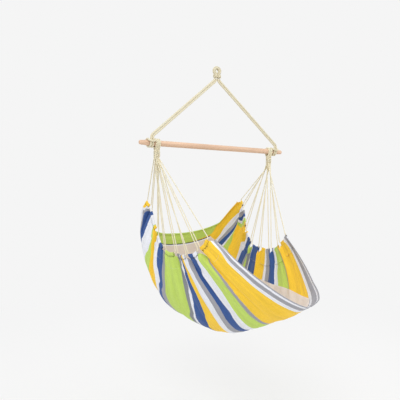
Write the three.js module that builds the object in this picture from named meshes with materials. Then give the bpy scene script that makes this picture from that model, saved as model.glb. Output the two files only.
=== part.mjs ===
// Hammock chair: a cloth seat hung by two fans of cord from a wooden spreader bar, with a rope
// bridle above the bar and a hanging eye at the top.
// Millimetres, +Z up. The origin is the point where the hook bears, inside the top of the eye.
// X runs along the bar, and the sitter faces -Y.
import * as THREE from 'three';

// Clearances
const seatGap = 0.3; // between pieces that bear on each other
const turnGap = 0.8; // between neighbouring turns of one rope
const lashGap = 0.6; // between neighbouring turns of a thin lashing cord

// Ropes and cords
const bridleRopeDia = 11;
const eyeRopeDia = 22;
const cordDia = 6;
const lashDia = 3.5;

// Hanging eye
const eyeInnerWidth = 16;
const eyeNeckDrop = 27;
const eyeLashTurns = 4;
const neckBareLength = 1;

// Spreader bar
const barLength = 1000;
const barDia = 32;
const barTipDia = 25;
const barTaperLength = 60;
const barEdgeRadius = 8;
const barDrop = 464;
const ringInset = 160;
const ringWidth = 4;
const ringDepth = 1.5;

// Bridle
const hitchInset = 67;
const legKneeHeight = 38;
const legBendRadius = 14;

// Harness
const bandWidth = 28;
const bandThickness = 10;
const bandSideGap = 0.6;
const bandNeckDrop = 40;
const bandBendRadius = 25;
const bandLashTurns = 7.5;
const cordGap = 0.5;
const cordBendRadius = 8;
const strandRows = [4, 5, 5];

// Seat: half width of the hems at the back, front to back length, and bar axis to lowest point
const hemHalfWidth = 345;
const seatDepth = 1380;
const seatDrop = 1078;
const clothThickness = 3;
const liningThickness = 4;
const liningGap = 0.4;

// Hem: seven tabs a side, each with a tunnel for its cord
const tabCount = 7;
const tunnelClearance = 0.6;
const tunnelWall = 2.4;
const foldDepth = 18;
const foldFade = 200;
const notchDepth = 30;
const tabSag = 5;
const selvageSag = 6;

// Places along a tab, as shares of it: its first corner, middle, last corner and the notch after it
const tabShares = [0.1, 0.5, 0.9, 1];
const foldReachShare = 0.095;

// Rows of the cloth, as shares: from its middle line to the lining's side edge, and from there to a hem
const innerRowShares = [0, 0.2, 0.4, 0.6, 0.8, 1];
const outerRowShares = [0.3, 0.58, 0.82, 1];

// Where the lining starts and ends, as shares of the way from the front selvage to the rear one
const liningFrontShare = 0.045;
const liningRearShare = 0.957;

// Eight cross-sections of the seat, from the front selvage to the rear one. The hem's x and the bow are
// shares of hemHalfWidth, y is a share of seatDepth, and drop a share of seatDrop below the bar's axis.
// wrap is half the angle that the section turns through, in degrees, and lean bends it in side view.
const seatSectionShares = [
  { hem: [0.74, -0.239, 0.466], middle: [-0.582, 0.742], bow: -0.035, wrap: 66.5, lean: 0.93 },
  { hem: [0.775, -0.181, 0.532], middle: [-0.408, 0.844], bow: -0.086, wrap: 67, lean: 1.31 },
  { hem: [0.82, -0.109, 0.566], middle: [-0.234, 0.939], bow: -0.106, wrap: 68.5, lean: 1.56 },
  { hem: [0.84, -0.029, 0.568], middle: [-0.059, 1], bow: -0.064, wrap: 75, lean: 1.38 },
  { hem: [0.89, 0.054, 0.554], middle: [0.113, 0.983], bow: 0.024, wrap: 89.5, lean: 1.13 },
  { hem: [0.92, 0.109, 0.466], middle: [0.264, 0.929], bow: 0.034, wrap: 100.5, lean: 0.96 },
  { hem: [0.97, 0.149, 0.336], middle: [0.355, 0.727], bow: 0.04, wrap: 107, lean: 0.86 },
  { hem: [1, 0.178, 0.294], middle: [0.417, 0.507], bow: -0.02, wrap: 102, lean: 0.55 },
];

// The lining's side edge at the same sections, as a share of the way from the middle line to a hem
const liningEdgeShares = [0.24, 0.58, 0.72, 0.77, 0.76, 0.68, 0.52, 0.33];

// Faceting: sides of each section and steps of each bend
const ropeSides = 8;
const eyeSides = 10;
const lashSides = 5;
const bandSegments = 5;
const barSegments = 24;
const bendSteps = 4;
const wrapSteps = 15;
const lashStepsPerSide = 3;
const domeSteps = 3;

// Sizes that follow from the driving dimensions
const barZ = -barDrop;
const barRadius = barDia / 2;
const ropeRadius = bridleRopeDia / 2;
const strandPitch = bridleRopeDia + turnGap;
const lashPitch = lashDia + lashGap;
const hitchX = barLength / 2 - hitchInset;
const hitchHalfWidth = strandPitch * 1.5 + ropeRadius;
const bandX = hitchX - hitchHalfWidth - bandSideGap - bandWidth / 2;
const eyeNeckHalf = (eyeRopeDia + seatGap) / 2;
const eyeLashLength = eyeLashTurns * lashPitch + lashDia;
const eyeNeckZ = -(eyeNeckDrop + eyeLashLength + 2 * neckBareLength);
const swingZ = eyeNeckZ - seatGap - ropeRadius;
const bandNeckHalf = (bandThickness + seatGap) / 2;
const bandLashLength = bandLashTurns * lashPitch + lashDia;
const bandNeckZ = barZ - bandNeckDrop - bandLashLength - 2 * neckBareLength;
const strandZ = bandNeckZ - seatGap;
const cordRadius = cordDia / 2;
const cordPitch = cordDia + cordGap;
const tunnelBore = cordRadius + tunnelClearance;
const tunnelRadius = tunnelBore + tunnelWall;

// Materials
const colours = {
  rope: 0xf0ebcd,
  wood: 0xe1b99b,
  cloth: 0xfacd3c,
  hem: 0xb8d45f,
  lining: 0xdecfc0,
};

function material(colour, roughness) {
  return new THREE.MeshStandardMaterial({ color: colour, roughness, metalness: 0 });
}

const chair = new THREE.Group();

function add(name, geometry, colour, roughness = 0.9) {
  const mesh = new THREE.Mesh(geometry, material(colour, roughness));
  mesh.name = name;
  chair.add(mesh);
  return mesh;
}

// A path through stations that are kept as they are, with each section square to the bend there
class StationCurve extends THREE.Curve {
  constructor(stations) {
    super();
    this.stations = stations;
  }

  getPoint(share) {
    const place = share * (this.stations.length - 1);
    const k = Math.min(Math.floor(place), this.stations.length - 2);
    return this.stations[k].clone().lerp(this.stations[k + 1], place - k);
  }

  getTangent(share, target = new THREE.Vector3()) {
    const last = this.stations.length - 1;
    const k = Math.round(share * last);
    const here = this.stations[k];
    const before = this.stations[Math.max(k - 1, 0)];
    const after = this.stations[Math.min(k + 1, last)];
    const leaving = after.clone().sub(here).normalize();
    return target.subVectors(here, before).normalize().add(leaving).normalize();
  }

  getUtoTmapping(share) {
    return share;
  }
}

function ringPoints(radius, sides) {
  const points = [];
  for (let k = 0; k < sides; k += 1) {
    const turn = (2 * Math.PI * k) / sides;
    points.push(new THREE.Vector2(radius * Math.cos(turn), radius * Math.sin(turn)));
  }
  return points;
}

// A solid that carries one section along the stations
function sweep(stations, shape, curveSegments = 1) {
  return new THREE.ExtrudeGeometry(shape, {
    extrudePath: new StationCurve(stations),
    steps: stations.length - 1,
    curveSegments,
  });
}

function roundSweep(stations, radius, sides) {
  return sweep(stations, new THREE.Shape(ringPoints(radius, sides)));
}

// A rope with a round dome beyond each of its two ends
function domedRope(stations, radius, sides) {
  const curve = new StationCurve(stations);
  const last = stations.length - 1;
  const frames = curve.computeFrenetFrames(last, false);
  const section = ringPoints(1, sides);
  const rings = [];
  const addRing = (k, along, size) => {
    const centre = stations[k].clone().addScaledVector(frames.tangents[k], along);
    rings.push(section.map((p) => centre.clone()
      .addScaledVector(frames.normals[k], size * p.x)
      .addScaledVector(frames.binormals[k], size * p.y)));
  };
  for (let step = domeSteps - 1; step > 0; step -= 1) {
    const rise = (Math.PI / 2) * (step / domeSteps);
    addRing(0, -radius * Math.sin(rise), radius * Math.cos(rise));
  }
  stations.forEach((station, k) => addRing(k, 0, radius));
  for (let step = 1; step < domeSteps; step += 1) {
    const rise = (Math.PI / 2) * (step / domeSteps);
    addRing(last, radius * Math.sin(rise), radius * Math.cos(rise));
  }
  const firstTip = stations[0].clone().addScaledVector(frames.tangents[0], -radius);
  const lastTip = stations[last].clone().addScaledVector(frames.tangents[last], radius);
  return ringSolid(rings, firstTip, lastTip);
}

// The closed skin over a row of rings and a point at each end
function ringSolid(rings, firstTip, lastTip) {
  const sides = rings[0].length;
  const faces = [];
  for (let k = 0; k < sides; k += 1) {
    const next = (k + 1) % sides;
    faces.push([firstTip, rings[0][next], rings[0][k]]);
    for (let r = 0; r < rings.length - 1; r += 1) {
      faces.push([rings[r][k], rings[r][next], rings[r + 1][next]]);
      faces.push([rings[r][k], rings[r + 1][next], rings[r + 1][k]]);
    }
    faces.push([lastTip, rings[rings.length - 1][k], rings[rings.length - 1][next]]);
  }
  return facesGeometry(faces);
}

function facesGeometry(faces) {
  const geometry = new THREE.BufferGeometry().setFromPoints(faces.flat());
  geometry.computeVertexNormals();
  return geometry;
}

// Straight runs between the corners, with each inner corner rounded to its radius
function roundedRoute(corners, radii) {
  const stations = [corners[0]];
  for (let k = 1; k < corners.length - 1; k += 1) {
    stations.push(...bend(corners[k - 1], corners[k], corners[k + 1], radii[k - 1]));
  }
  stations.push(corners[corners.length - 1]);
  return stations;
}

function bendAngle(before, corner, after) {
  return Math.PI - before.clone().sub(corner).angleTo(after.clone().sub(corner));
}

function bend(before, corner, after, radius) {
  const arriving = corner.clone().sub(before).normalize();
  const leaving = after.clone().sub(corner).normalize();
  const axis = arriving.clone().cross(leaving).normalize();
  const angle = arriving.angleTo(leaving);
  const start = corner.clone().addScaledVector(arriving, -radius * Math.tan(angle / 2));
  const centre = start.clone().addScaledVector(axis.clone().cross(arriving), radius);
  const spoke = start.sub(centre);
  const stations = [];
  for (let step = 0; step <= bendSteps; step += 1) {
    const turned = spoke.clone().applyAxisAngle(axis, (angle * step) / bendSteps);
    stations.push(turned.add(centre));
  }
  return stations;
}

function mirrored(stations) {
  return stations.map((p) => new THREE.Vector3(-p.x, p.y, p.z));
}

// The least clear space between two stretches of one rope that lie over a full bend apart along it
function leastSelfGap(stations, diameter) {
  const curve = new StationCurve(stations);
  const samples = [];
  const samplesPerStep = 4;
  const count = (stations.length - 1) * samplesPerStep;
  let travelled = 0;
  for (let k = 0; k <= count; k += 1) {
    const point = curve.getPoint(k / count);
    travelled += k > 0 ? point.distanceTo(samples[k - 1].point) : 0;
    samples.push({ point, travelled });
  }
  let least = Infinity;
  for (const a of samples) {
    for (const b of samples) {
      if (b.travelled - a.travelled > Math.PI * diameter) {
        least = Math.min(least, a.point.distanceTo(b.point) - diameter);
      }
    }
  }
  return least;
}

function reportGap(name, stations, diameter) {
  console.log(`${name}: least gap to itself ${leastSelfGap(stations, diameter).toFixed(2)} mm`);
}

// Hanging eye: a served rope that loops over the hook, with its two legs drawn together at the neck
function eyeStations() {
  const radius = (eyeInnerWidth + eyeRopeDia) / 2;
  const centreZ = eyeRopeDia / 2 - radius;
  const loopSteps = 12;
  const stations = [];
  for (let step = 0; step <= loopSteps; step += 1) {
    const turn = (Math.PI * step) / loopSteps;
    stations.push(new THREE.Vector3(radius * Math.cos(turn), 0, centreZ + radius * Math.sin(turn)));
  }
  const legSteps = 4;
  for (let step = 1; step <= legSteps; step += 1) {
    const share = step / legSteps;
    const ease = (1 - Math.cos(Math.PI * share)) / 2;
    const x = THREE.MathUtils.lerp(radius, eyeNeckHalf, ease);
    const z = THREE.MathUtils.lerp(centreZ, -eyeNeckDrop, share);
    stations.push(new THREE.Vector3(-x, 0, z));
    stations.unshift(new THREE.Vector3(x, 0, z));
  }
  stations.push(new THREE.Vector3(-eyeNeckHalf, 0, eyeNeckZ));
  stations.unshift(new THREE.Vector3(eyeNeckHalf, 0, eyeNeckZ));
  return stations;
}

// One turn of a lashing round two strands that lie side by side along `spread`. Each strand's section
// is an ellipse with half axes halfX and halfY, and the lashing keeps `clear` off it.
function lashOutline(halfX, halfY, spread, clear) {
  const points = [];
  const stepsPerHalf = lashStepsPerSide * 2;
  const across = spread.clone().normalize();
  for (let step = 0; step < stepsPerHalf * 2; step += 1) {
    const turn = (Math.PI * (step + 0.5)) / stepsPerHalf;
    const unit = new THREE.Vector2(Math.cos(turn), Math.sin(turn));
    const normal = new THREE.Vector2(unit.x / halfX, unit.y / halfY).normalize();
    const point = new THREE.Vector2(unit.x * halfX, unit.y * halfY).addScaledVector(normal, clear);
    points.push(point.addScaledVector(spread, Math.sign(unit.dot(across))));
  }
  return points;
}

function lashStations(outline, turns, centreX, topZ) {
  const stations = [];
  const count = Math.round(turns * outline.length);
  for (let step = 0; step <= count; step += 1) {
    const point = outline[step % outline.length];
    const drop = (lashPitch * step) / outline.length + lashDia / 2;
    stations.push(new THREE.Vector3(centreX + point.x, point.y, topZ - drop));
  }
  return stations;
}

// The faceted lashing stays this far off, so that its chords clear the strands too
function lashClearance(halfAxis) {
  const chordSink = (halfAxis + lashDia) * (1 - Math.cos(Math.PI / (lashStepsPerSide * 4)));
  return lashDia / 2 + seatGap + chordSink;
}

function buildHangingEye() {
  add('hanging_eye', roundSweep(eyeStations(), eyeRopeDia / 2, eyeSides), colours.rope);
  const eyeRadius = eyeRopeDia / 2;
  const spread = new THREE.Vector2(eyeNeckHalf, 0);
  const outline = lashOutline(eyeRadius, eyeRadius, spread, lashClearance(eyeRadius));
  const lash = lashStations(outline, eyeLashTurns, 0, -eyeNeckDrop - neckBareLength);
  reportGap('eye_lashing', lash, lashDia);
  add('eye_lashing', roundSweep(lash, lashDia / 2, lashSides), colours.rope);
}

// Bridle rope: doubled from the neck to the bar, where its bight makes a lark's head hitch
const wrapStepAngle = THREE.MathUtils.degToRad(20);
const wrapRadius = (barRadius + seatGap + ropeRadius) / Math.cos(wrapStepAngle / 2);

// Half the hitch, on one side of its middle: the strand in front of the bar goes under it, up behind
// it and over its top, moving outwards, and comes forward round the strand to the middle of the bight
function hitchHalf() {
  const near = strandPitch / 2;
  const far = strandPitch * 1.5;
  const stations = [];
  for (let step = 0; step <= wrapSteps; step += 1) {
    const turn = wrapStepAngle * step;
    const shift = THREE.MathUtils.smoothstep(step / wrapSteps, 0.1, 0.8);
    const x = THREE.MathUtils.lerp(near, far, shift);
    stations.push(new THREE.Vector3(x, -wrapRadius * Math.cos(turn), -wrapRadius * Math.sin(turn)));
  }
  const lastTurn = wrapStepAngle * wrapSteps;
  const slope = Math.cos(lastTurn) / -Math.sin(lastTurn);
  const leaveY = -wrapRadius * Math.cos(lastTurn);
  const leaveZ = -wrapRadius * Math.sin(lastTurn);
  const cornerZ = leaveZ + slope * (-wrapRadius - leaveY);
  for (let step = 0; step <= bendSteps; step += 1) {
    const turn = ((Math.PI / 2) * step) / bendSteps;
    const x = near + strandPitch * Math.cos(turn);
    const y = -wrapRadius - strandPitch * Math.sin(turn);
    stations.push(new THREE.Vector3(x, y, cornerZ - ropeRadius * Math.sin(turn / 2) ** 2 * 2));
  }
  return stations;
}

function legStrand(side) {
  const near = strandPitch / 2;
  const top = new THREE.Vector2(seatGap / 2 + ropeRadius + near, swingZ);
  const foot = new THREE.Vector2(hitchX, barZ + legKneeHeight);
  const halfBend = Math.atan2(foot.x - top.x, top.y - foot.y) / 2;
  const rise = side * near * Math.tan(halfBend);
  const kneeZ = top.y - (legBendRadius + near) * Math.tan(halfBend);
  const corners = [
    new THREE.Vector3(top.x + side * near, 0, top.y),
    new THREE.Vector3(top.x + side * near, 0, kneeZ + rise),
    new THREE.Vector3(foot.x + side * near, -wrapRadius, foot.y + rise),
    new THREE.Vector3(foot.x + side * near, -wrapRadius, barZ),
  ];
  const outer = legBendRadius + strandPitch;
  return roundedRoute(corners, side > 0 ? [legBendRadius, outer] : [outer, legBendRadius]);
}

function bridleRopeStations() {
  const toBar = (p) => new THREE.Vector3(hitchX + p.x, p.y, barZ + p.z);
  const half = hitchHalf();
  const inner = mirrored(half).map(toBar);
  const outer = half.map(toBar).reverse();
  const down = legStrand(-1).slice(0, -1);
  const up = legStrand(1).slice(0, -1).reverse();
  return [...down, ...inner, ...outer, ...up];
}

// Spreader bar: a turned pole with tapered, rounded ends and a ring cut in it near each end
function barProfile() {
  const half = barLength / 2;
  const tip = barTipDia / 2;
  const ringY = half - ringInset;
  const profile = [
    [barRadius, ringY - ringWidth / 2],
    [barRadius - ringDepth, ringY],
    [barRadius, ringY + ringWidth / 2],
    [barRadius, half - barTaperLength],
  ];
  const edgeSteps = 3;
  for (let step = 0; step <= edgeSteps; step += 1) {
    const turn = ((Math.PI / 2) * step) / edgeSteps;
    const inset = barEdgeRadius * (1 - Math.cos(turn));
    profile.push([tip - inset, half - barEdgeRadius * (1 - Math.sin(turn))]);
  }
  profile.push([0, half]);
  const mirror = profile.map(([radius, along]) => [radius, -along]).reverse();
  return [...mirror, ...profile].map(([radius, along]) => new THREE.Vector2(radius, along));
}

function buildBridle() {
  const stations = bridleRopeStations();
  reportGap('bridle_rope', stations, bridleRopeDia);
  add('bridle_rope_left', domedRope(mirrored(stations), ropeRadius, ropeSides), colours.rope);
  add('bridle_rope_right', domedRope(stations, ropeRadius, ropeSides), colours.rope);
  const bar = add('spreader_bar', new THREE.LatheGeometry(barProfile(), barSegments), colours.wood, 0.55);
  bar.rotation.z = -Math.PI / 2;
  bar.position.z = barZ;
}

// Harness band: a flat loop of gathered cords over the bar, drawn together and lashed under it
function bandStations(x) {
  const stepAngle = THREE.MathUtils.degToRad(15);
  const loop = (barRadius + seatGap + bandThickness / 2) / Math.cos(stepAngle / 2);
  const reach = Math.hypot(bandNeckDrop, bandNeckHalf);
  const leave = Math.asin(loop / reach) - Math.atan2(bandNeckHalf, bandNeckDrop);
  const touch = new THREE.Vector3(x, -loop * Math.cos(leave), barZ - loop * Math.sin(leave));
  const foot = new THREE.Vector3(x, -bandNeckHalf, bandNeckZ);
  const neck = new THREE.Vector3(x, -bandNeckHalf, barZ - bandNeckDrop);
  const front = [foot, ...bend(foot, neck, touch, bandBendRadius), touch];
  const rear = front.map((p) => new THREE.Vector3(p.x, -p.y, p.z)).reverse();
  const arc = [];
  const steps = Math.ceil((Math.PI + 2 * leave) / stepAngle);
  for (let step = 1; step < steps; step += 1) {
    const turn = -leave + ((Math.PI + 2 * leave) * step) / steps;
    arc.push(new THREE.Vector3(x, -loop * Math.cos(turn), barZ + loop * Math.sin(turn)));
  }
  return [...front, ...arc, ...rear];
}

function buildHarnessBand(side, x) {
  const section = new THREE.Shape().absellipse(0, 0, bandWidth / 2, bandThickness / 2, 0, 2 * Math.PI);
  add(`harness_band_${side}`, sweep(bandStations(x), section, bandSegments), colours.rope);
  const halfX = bandWidth / 2;
  const halfY = bandThickness / 2;
  const spread = new THREE.Vector2(0, bandNeckHalf);
  const outline = lashOutline(halfX, halfY, spread, lashClearance(halfX));
  const lash = lashStations(outline, bandLashTurns, x, barZ - bandNeckDrop - neckBareLength);
  reportGap(`harness_lashing_${side}`, lash, lashDia);
  add(`harness_lashing_${side}`, roundSweep(lash, lashDia / 2, lashSides), colours.rope);
}

// The seat's rails, each a smooth curve through the sections from the front selvage to the rear one
function rail(pick) {
  const points = seatSectionShares.map((section, k) => new THREE.Vector3(...pick(section, k)));
  return new THREE.CatmullRomCurve3(points, false, 'catmullrom', 0.5);
}

const hemRail = rail((s) => [s.hem[0] * hemHalfWidth, s.hem[1] * seatDepth, barZ - s.hem[2] * seatDrop]);
const middleRail = rail((s) => [s.bow * hemHalfWidth, s.middle[0] * seatDepth, barZ - s.middle[1] * seatDrop]);
const bendRail = rail((s, k) => [s.wrap, s.lean, liningEdgeShares[k]]);

// The smooth seat at a share u of the way from front to back, and a share t from the middle line (0) to
// the left hem (-1) or the right hem (1)
function smoothSeat(u, t) {
  const hem = hemRail.getPoint(u);
  const middle = middleRail.getPoint(u);
  const form = bendRail.getPoint(u);
  const wrap = THREE.MathUtils.degToRad(form.x);
  const turn = wrap * Math.abs(t);
  const climb = (1 - Math.cos(turn)) / (1 - Math.cos(wrap));
  const half = (hem.x * Math.sin(turn)) / Math.sin(wrap) + middle.x * Math.sin(Math.PI * Math.abs(t));
  const y = THREE.MathUtils.lerp(middle.y, hem.y, climb ** form.y);
  return new THREE.Vector3(Math.sign(t) * half, y, THREE.MathUtils.lerp(middle.z, hem.z, climb));
}

// Directions on the smooth seat: towards the rear, towards the right hem, and out of the seat
const nudge = 1e-3;

function seatDirections(u, t) {
  const u0 = Math.max(u - nudge, 0);
  const u1 = Math.min(u + nudge, 1);
  const t0 = Math.max(t - nudge, -1);
  const t1 = Math.min(t + nudge, 1);
  const rearward = smoothSeat(u1, t).sub(smoothSeat(u0, t)).normalize();
  const rightward = smoothSeat(u, t1).sub(smoothSeat(u, t0)).normalize();
  const outward = rearward.clone().cross(rightward).normalize();
  return { rightward, outward };
}

function halfLength(u) {
  const steps = 12;
  let length = 0;
  for (let step = 0; step < steps; step += 1) {
    length += smoothSeat(u, step / steps).distanceTo(smoothSeat(u, (step + 1) / steps));
  }
  return length;
}

// Cords gather the hem, so it folds in at the notches between the tabs and swells between them, and
// the folds fade towards the middle of the seat
function foldHeight(u, t) {
  const place = u * tabCount;
  const fromNotch = Math.abs(place - Math.round(place));
  const weight = 0.5 - 1.5 * Math.exp(-((fromNotch / foldReachShare) ** 2));
  const fromHem = (1 - Math.abs(t)) * halfLength(u);
  return foldDepth * weight * Math.exp(-fromHem / foldFade);
}

// A point on the folded cloth, `lift` off its middle surface towards the sitter
function seatPoint(u, t, lift = 0) {
  const { outward } = seatDirections(u, t);
  return smoothSeat(u, t).addScaledVector(outward, foldHeight(u, t) - lift);
}

// Columns of the cloth: the places along each tab, the selvages, and the lining's front and rear edges
function columnShares() {
  const shares = [0, liningFrontShare, liningRearShare];
  for (let tab = 0; tab < tabCount; tab += 1) {
    tabShares.forEach((place) => shares.push((tab + place) / tabCount));
  }
  return shares.sort((a, b) => a - b);
}

// How far the hem's edge lies below the hem line at a column
function hemSag(u) {
  const place = u * tabCount;
  const fromNotch = Math.abs(place - Math.round(place));
  const depth = u === 0 || u === 1 ? selvageSag : notchDepth;
  const cornerShare = tabShares[0];
  if (fromNotch < cornerShare) {
    return depth * (1 - fromNotch / cornerShare);
  }
  return tabSag * ((fromNotch - cornerShare) / (tabShares[1] - cornerShare));
}

// The share of a row at a column: the last row follows the hem's edge down into its notches
function edgeShare(u) {
  return 1 - hemSag(u) / halfLength(u);
}

// The rows at a column, from hem to hem or only as far as the lining's side edges
function rowPlaces(u, toHem) {
  const liningEdge = bendRail.getPoint(u).z;
  const places = innerRowShares.map((share) => share * liningEdge);
  if (toHem) {
    outerRowShares.forEach((share) => places.push(THREE.MathUtils.lerp(liningEdge, edgeShare(u), share)));
  }
  const left = places.slice(1).reverse().map((share) => -share);
  return [...left, ...places];
}

// A sheet between two skins over the same columns and rows
function sheetGeometry(columns, toHem, liftBelow, liftAbove) {
  const skin = (lift) => columns.map((u) => rowPlaces(u, toHem).map((t) => seatPoint(u, t, lift)));
  const below = skin(liftBelow);
  const above = skin(liftAbove);
  const faces = [];
  const quad = (a, b, c, d) => faces.push([a, b, c], [a, c, d]);
  const lastRow = below[0].length - 1;
  const lastColumn = columns.length - 1;
  for (let i = 0; i < lastColumn; i += 1) {
    for (let j = 0; j < lastRow; j += 1) {
      quad(below[i][j], below[i + 1][j], below[i + 1][j + 1], below[i][j + 1]);
      quad(above[i][j], above[i][j + 1], above[i + 1][j + 1], above[i + 1][j]);
    }
    quad(below[i][0], above[i][0], above[i + 1][0], below[i + 1][0]);
    quad(above[i][lastRow], below[i][lastRow], below[i + 1][lastRow], above[i + 1][lastRow]);
  }
  for (let j = 0; j < lastRow; j += 1) {
    quad(below[0][j], below[0][j + 1], above[0][j + 1], above[0][j]);
    quad(above[lastColumn][j], above[lastColumn][j + 1], below[lastColumn][j + 1], below[lastColumn][j]);
  }
  return facesGeometry(faces);
}

function buildSeat() {
  const columns = columnShares();
  const half = clothThickness / 2;
  add('seat_cloth', sheetGeometry(columns, true, -half, half), colours.cloth);
  const inner = columns.filter((u) => u >= liningFrontShare && u <= liningRearShare);
  const liningLift = half + liningGap;
  const lining = sheetGeometry(inner, false, liningLift, liningLift + liningThickness);
  add('seat_lining', lining, colours.lining);
}

// The middle line of a tab's tunnel: it runs beside the edge of the cloth, square off it, and passes
// every column between the tab's two corners
function tabLine(tab) {
  const first = (tab + tabShares[0]) / tabCount;
  const last = (tab + tabShares[2]) / tabCount;
  const columns = columnShares().filter((u) => u >= first && u <= last);
  const edge = columns.map((u) => seatPoint(u, edgeShare(u)));
  return edge.map((point, k) => {
    const along = edge[Math.min(k + 1, edge.length - 1)].clone().sub(edge[Math.max(k - 1, 0)]).normalize();
    const { rightward } = seatDirections(columns[k], edgeShare(columns[k]));
    const off = rightward.addScaledVector(along, -rightward.dot(along)).normalize();
    return point.clone().addScaledVector(off, tunnelRadius + seatGap);
  });
}

// Where the strands leave the neck on the right side, front strand first: in rows across the band
function strandTops() {
  const tops = [];
  strandRows.forEach((count, row) => {
    const y = (row - (strandRows.length - 1) / 2) * cordPitch;
    for (let k = 0; k < count; k += 1) {
      const x = bandX + (k - (count - 1) / 2) * cordPitch;
      tops.push(new THREE.Vector3(x, y, strandZ));
    }
  });
  return tops;
}

// Each strand leaves the neck straight down for one cord diameter
function belowTop(top) {
  return new THREE.Vector3(top.x, top.y, top.z - cordDia);
}

// A doubled cord: down to the tab's first corner, through the tunnel, and back up from its last corner
function cordStations(tab, tops) {
  const line = tabLine(tab);
  const inner = line.slice(1, -1);
  const [front, rear] = tops.slice(tab * 2, tab * 2 + 2);
  const ahead = bend(belowTop(front), line[0], inner[0], cordBendRadius);
  const behind = bend(inner.at(-1), line.at(-1), belowTop(rear), cordBendRadius);
  return [front, belowTop(front), ...ahead, ...inner, ...behind, belowTop(rear), rear];
}

// The tunnel starts where the cord's bend at a corner has ended
function tunnelStations(tab, tops) {
  const line = tabLine(tab);
  const inner = line.slice(1, -1);
  const inset = (top, corner, next) => {
    const setback = cordBendRadius * Math.tan(bendAngle(belowTop(top), corner, next) / 2);
    const towards = next.clone().sub(corner).normalize();
    return corner.clone().addScaledVector(towards, setback + cordGap);
  };
  const start = inset(tops[tab * 2], line[0], inner[0]);
  return [start, ...inner, inset(tops[tab * 2 + 1], line.at(-1), inner.at(-1))];
}

function tunnelSection() {
  const shape = new THREE.Shape(ringPoints(tunnelRadius, ropeSides));
  shape.holes.push(new THREE.Path(ringPoints(tunnelBore, ropeSides).reverse()));
  return shape;
}

function buildSuspension(side, place) {
  const tops = strandTops();
  for (let tab = 0; tab < tabCount; tab += 1) {
    const cord = roundSweep(place(cordStations(tab, tops)), cordRadius, ropeSides);
    add(`harness_cord_${side}_${tab + 1}`, cord, colours.rope);
    add(`hem_tunnel_${side}_${tab + 1}`, sweep(place(tunnelStations(tab, tops)), tunnelSection()), colours.hem);
  }
}

buildHangingEye();
buildBridle();
buildHarnessBand('left', -bandX);
buildHarnessBand('right', bandX);
buildSeat();
buildSuspension('left', mirrored);
buildSuspension('right', (stations) => stations);

export default chair;
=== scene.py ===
# Hammock chair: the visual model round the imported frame.
# Metres, +Z up, and the origin where the hook bears.
from math import acos, asin, atan2, copysign, cos, hypot, pi, radians, sin, sqrt, tan

import bpy
import numpy as np
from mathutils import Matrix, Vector, noise


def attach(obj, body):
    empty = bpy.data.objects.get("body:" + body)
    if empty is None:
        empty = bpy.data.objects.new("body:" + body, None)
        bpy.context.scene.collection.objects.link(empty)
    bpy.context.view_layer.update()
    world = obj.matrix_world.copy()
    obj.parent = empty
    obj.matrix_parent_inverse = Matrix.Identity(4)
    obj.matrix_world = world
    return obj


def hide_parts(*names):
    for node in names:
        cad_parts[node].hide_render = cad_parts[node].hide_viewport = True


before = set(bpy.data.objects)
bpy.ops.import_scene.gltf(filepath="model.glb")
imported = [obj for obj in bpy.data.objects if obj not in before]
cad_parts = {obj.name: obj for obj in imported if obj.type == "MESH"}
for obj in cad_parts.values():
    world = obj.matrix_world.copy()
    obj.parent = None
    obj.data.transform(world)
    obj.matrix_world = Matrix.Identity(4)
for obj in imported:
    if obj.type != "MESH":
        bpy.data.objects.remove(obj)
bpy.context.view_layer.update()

MM = 0.001
SIDES = ((-1, "left"), (1, "right"))

# Sizes that the CAD part has too
SEAT_GAP = 0.3 * MM
TURN_GAP = 0.8 * MM
LASH_GAP = 0.6 * MM
ROPE_DIA = 11 * MM
EYE_ROPE_DIA = 22 * MM
CORD_DIA = 6 * MM
LASH_DIA = 3.5 * MM
EYE_INNER_WIDTH = 16 * MM
EYE_NECK_DROP = 27 * MM
EYE_LASH_TURNS = 4
NECK_BARE = 1 * MM
BAR_LENGTH = 1.0
BAR_DIA = 32 * MM
BAR_TIP_DIA = 25 * MM
BAR_TAPER = 60 * MM
BAR_EDGE = 8 * MM
BAR_DROP = 464 * MM
RING_INSET = 160 * MM
RING_WIDTH = 4 * MM
RING_DEPTH = 1.5 * MM
HITCH_INSET = 67 * MM
KNEE_HEIGHT = 38 * MM
LEG_BEND = 14 * MM
BAND_WIDTH = 28 * MM
BAND_THICKNESS = 10 * MM
BAND_SIDE_GAP = 0.6 * MM
BAND_NECK_DROP = 40 * MM
BAND_BEND = 25 * MM
BAND_LASH_TURNS = 7.5
CORD_GAP = 0.5 * MM
CORD_BEND = 8 * MM
STRAND_ROWS = (4, 5, 5)
HEM_HALF = 345 * MM
SEAT_DEPTH = 1380 * MM
SEAT_DROP = 1078 * MM
TAB_COUNT = 7
TAB_CORNER = 0.1
TUNNEL_RADIUS = 6 * MM
FOLD_DEPTH = 18 * MM
FOLD_FADE = 200 * MM
FOLD_REACH = 0.095
TAB_SAG = 5 * MM
SELVAGE_SAG = 6 * MM
LINING_FRONT = 0.045
LINING_REAR = 0.957

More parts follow.
